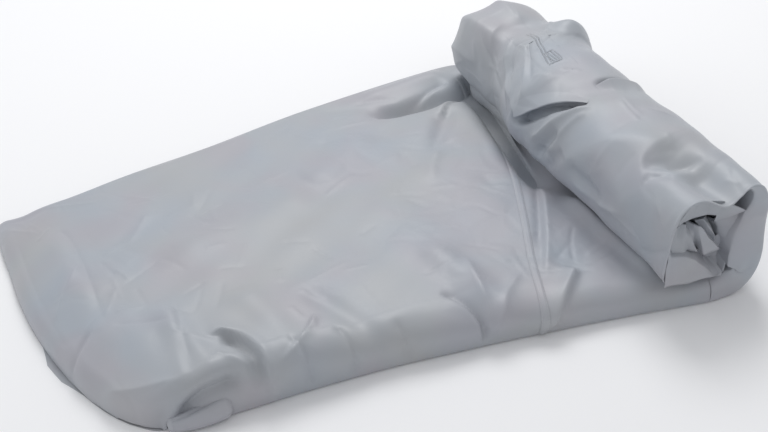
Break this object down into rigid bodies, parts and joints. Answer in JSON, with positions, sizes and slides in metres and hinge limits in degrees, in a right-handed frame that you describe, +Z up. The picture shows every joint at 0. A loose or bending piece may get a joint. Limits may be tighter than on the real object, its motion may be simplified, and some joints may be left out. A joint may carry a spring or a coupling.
{
  "type": "boat cover",
  "caption": "Grey polyester boat cover, folded lengthwise into a soft strip, laid flat at one end and loosely rolled up from the other, with a felled seam across it.",
  "frame": {"origin": "under the middle of the whole outline, on the surface that the cover lies on", "axes": "+Z up from that surface, +X along the strip from its laid end to the roll, +Y across it from the near edge to the far one"},
  "size_m": [1.0028, 0.715, 0.1959],
  "materials": {
    "coated_cloth": "fine plain-woven polyester with a soft satin sheen",
    "seam_cloth": "the same cloth felled and twice stitched with grey thread"
  },
  "bodies": {
    "root": {"end_panel": "coated_cloth", "long_panel": "coated_cloth", "felled_seam": "seam_cloth"}
  },
  "joints": []
}
